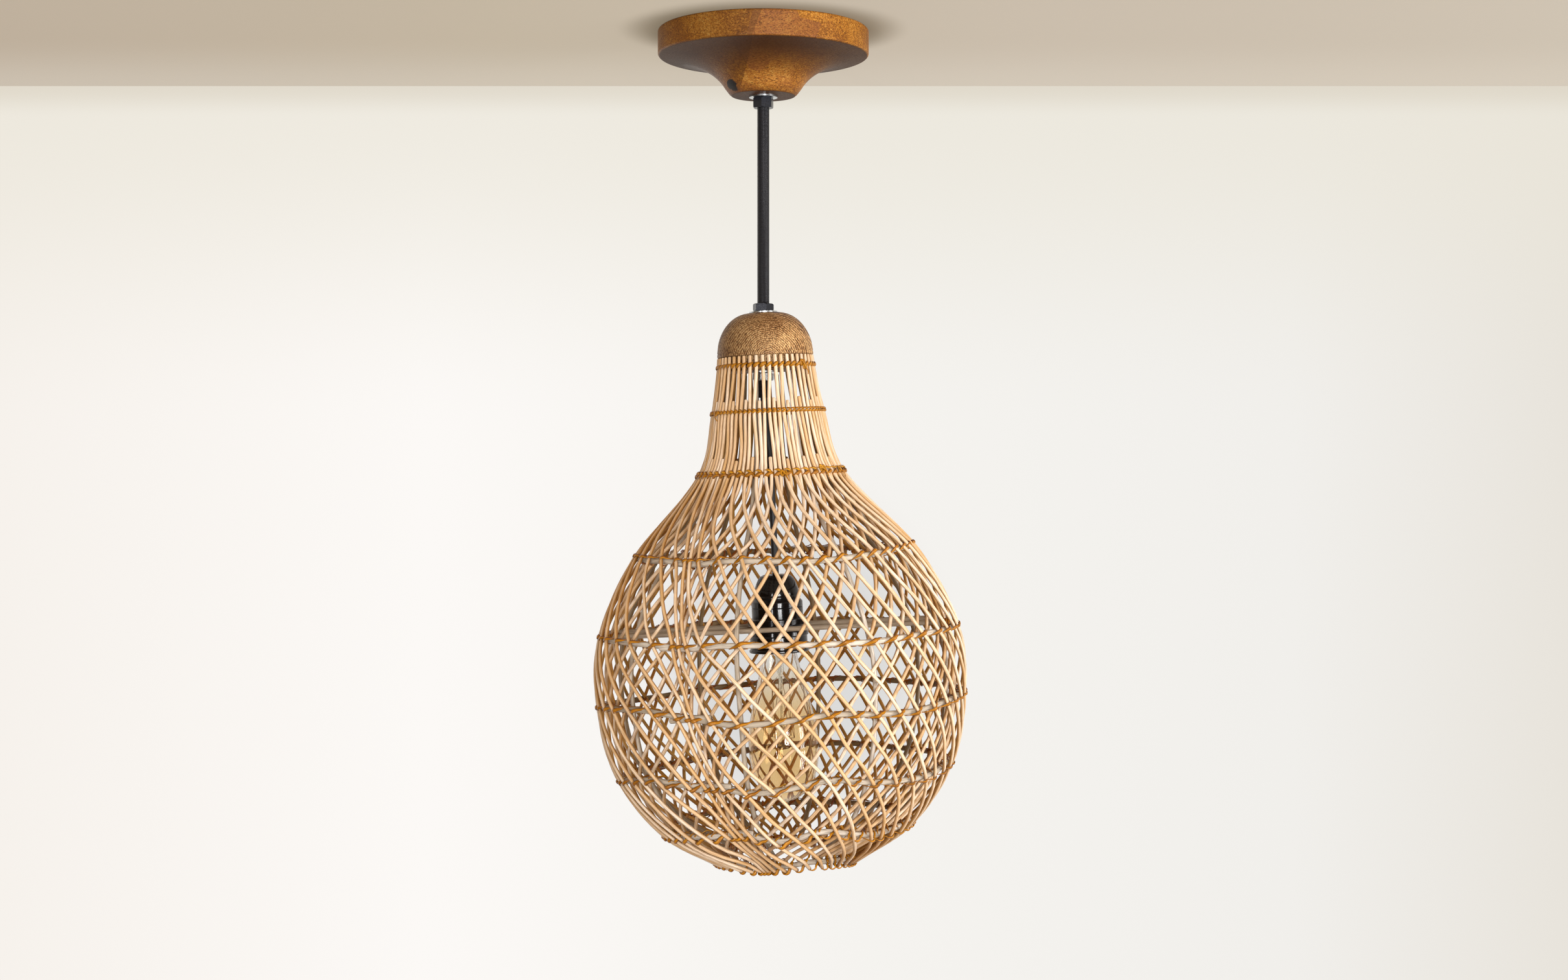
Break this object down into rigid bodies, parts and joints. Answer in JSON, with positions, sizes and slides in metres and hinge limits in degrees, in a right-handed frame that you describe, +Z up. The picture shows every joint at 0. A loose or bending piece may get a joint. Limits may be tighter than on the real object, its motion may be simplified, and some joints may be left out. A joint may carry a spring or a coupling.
{
  "type": "pendant ceiling light",
  "caption": "Pendant light with a turned wooden canopy and cap, a threaded down rod and a pear-shaped woven cane shade around a screw-in filament bulb.",
  "frame": {"origin": "on the rod's axis, in the plane of the ceiling, midway between the two ceiling screws", "axes": "+Z up, +X along the ceiling bracket towards the side that the shade's foot leans to, +Y to the back"},
  "size_m": [0.3031, 0.3024, 0.677],
  "materials": {
    "zinc_steel": "zinc plated, satin",
    "brass": "machined, satin",
    "white_plastic": "moulded, matt",
    "canopy_wood": "turned mango wood, waxed",
    "cap_wood": "turned mango wood, waxed",
    "blackened_steel": "blackened, satin",
    "blackened_rod": "blackened thread, satin",
    "cane": "peeled cane, satin",
    "hoop_cane": "weathered cane core, matt",
    "bark": "split cane bark, glossy",
    "black_sheath": "smooth sheath, satin",
    "brown_insulation": "smooth",
    "blue_insulation": "smooth",
    "green_insulation": "smooth",
    "holder_plastic": "moulded phenolic, glossy",
    "holder_ceramic": "glazed",
    "nickel_cap": "rolled thread, bright",
    "solder": "solder, dull",
    "black_glass": "opaque black glass",
    "amber_glass": "clear glass with an amber tint",
    "clear_glass": "clear glass",
    "nickel_wire": "drawn wire",
    "filament": "coiled wire, unlit"
  },
  "bodies": {
    "root": {"ceiling_bracket": "zinc_steel", "bracket_screws": "brass", "upper_rod_nut": "zinc_steel", "lower_rod_nut": "zinc_steel", "lock_washer": "zinc_steel", "terminal_block": "white_plastic", "terminal_screws": "brass", "rod": "blackened_rod", "cap_nut": "blackened_steel", "cap_washer": "zinc_steel", "wooden_cap": "cap_wood", "inner_washer": "zinc_steel", "inner_nut": "zinc_steel", "outer_canes": "cane", "inner_canes": "cane", "ribs": "hoop_cane", "hoop_1": "hoop_cane", "hoop_2": "hoop_cane", "hoop_3": "hoop_cane", "hoop_4": "hoop_cane", "hoop_5": "hoop_cane", "rim_hoop": "hoop_cane", "neck_binding_1": "bark", "neck_binding_2": "bark", "neck_binding_3": "bark", "ties_1": "bark", "ties_2": "bark", "ties_3": "bark", "ties_4": "bark", "ties_5": "bark", "rim_binding": "bark", "bridge_bars": "hoop_cane", "bridge_ties": "bark", "cable": "black_sheath", "live_wire": "brown_insulation", "neutral_wire": "blue_insulation", "earth_wire": "green_insulation", "cord_grip": "holder_plastic", "holder_cover": "holder_plastic", "holder_body": "holder_plastic", "holder_insert": "holder_ceramic", "holder_terminals": "brass", "thread_sleeve": "brass", "centre_contact": "brass"},
    "canopy": {"canopy": "canopy_wood", "canopy_washer": "zinc_steel", "canopy_nut": "blackened_steel"},
    "shade_ring": {"shade_ring": "holder_plastic"},
    "bulb": {"bulb_cap": "nickel_cap", "bulb_contact": "solder", "bulb_insulator": "black_glass", "bulb_glass": "amber_glass", "bulb_stem": "clear_glass", "bulb_leads": "nickel_wire", "bulb_filament": "filament"}
  },
  "joints": [
    {"name": "canopy_slide", "type": "slide", "parent": "root", "child": "canopy", "axis": [0, 0, -1], "range_m": [0, 0.15]},
    {"name": "ring_slide", "type": "slide", "parent": "root", "child": "shade_ring", "axis": [0.0471, 0, -0.9989], "range_m": [0, 0.01]},
    {"name": "bulb_slide", "type": "slide", "parent": "root", "child": "bulb", "axis": [0.0471, 0, -0.9989], "range_m": [0, 0.22]}
  ]
}
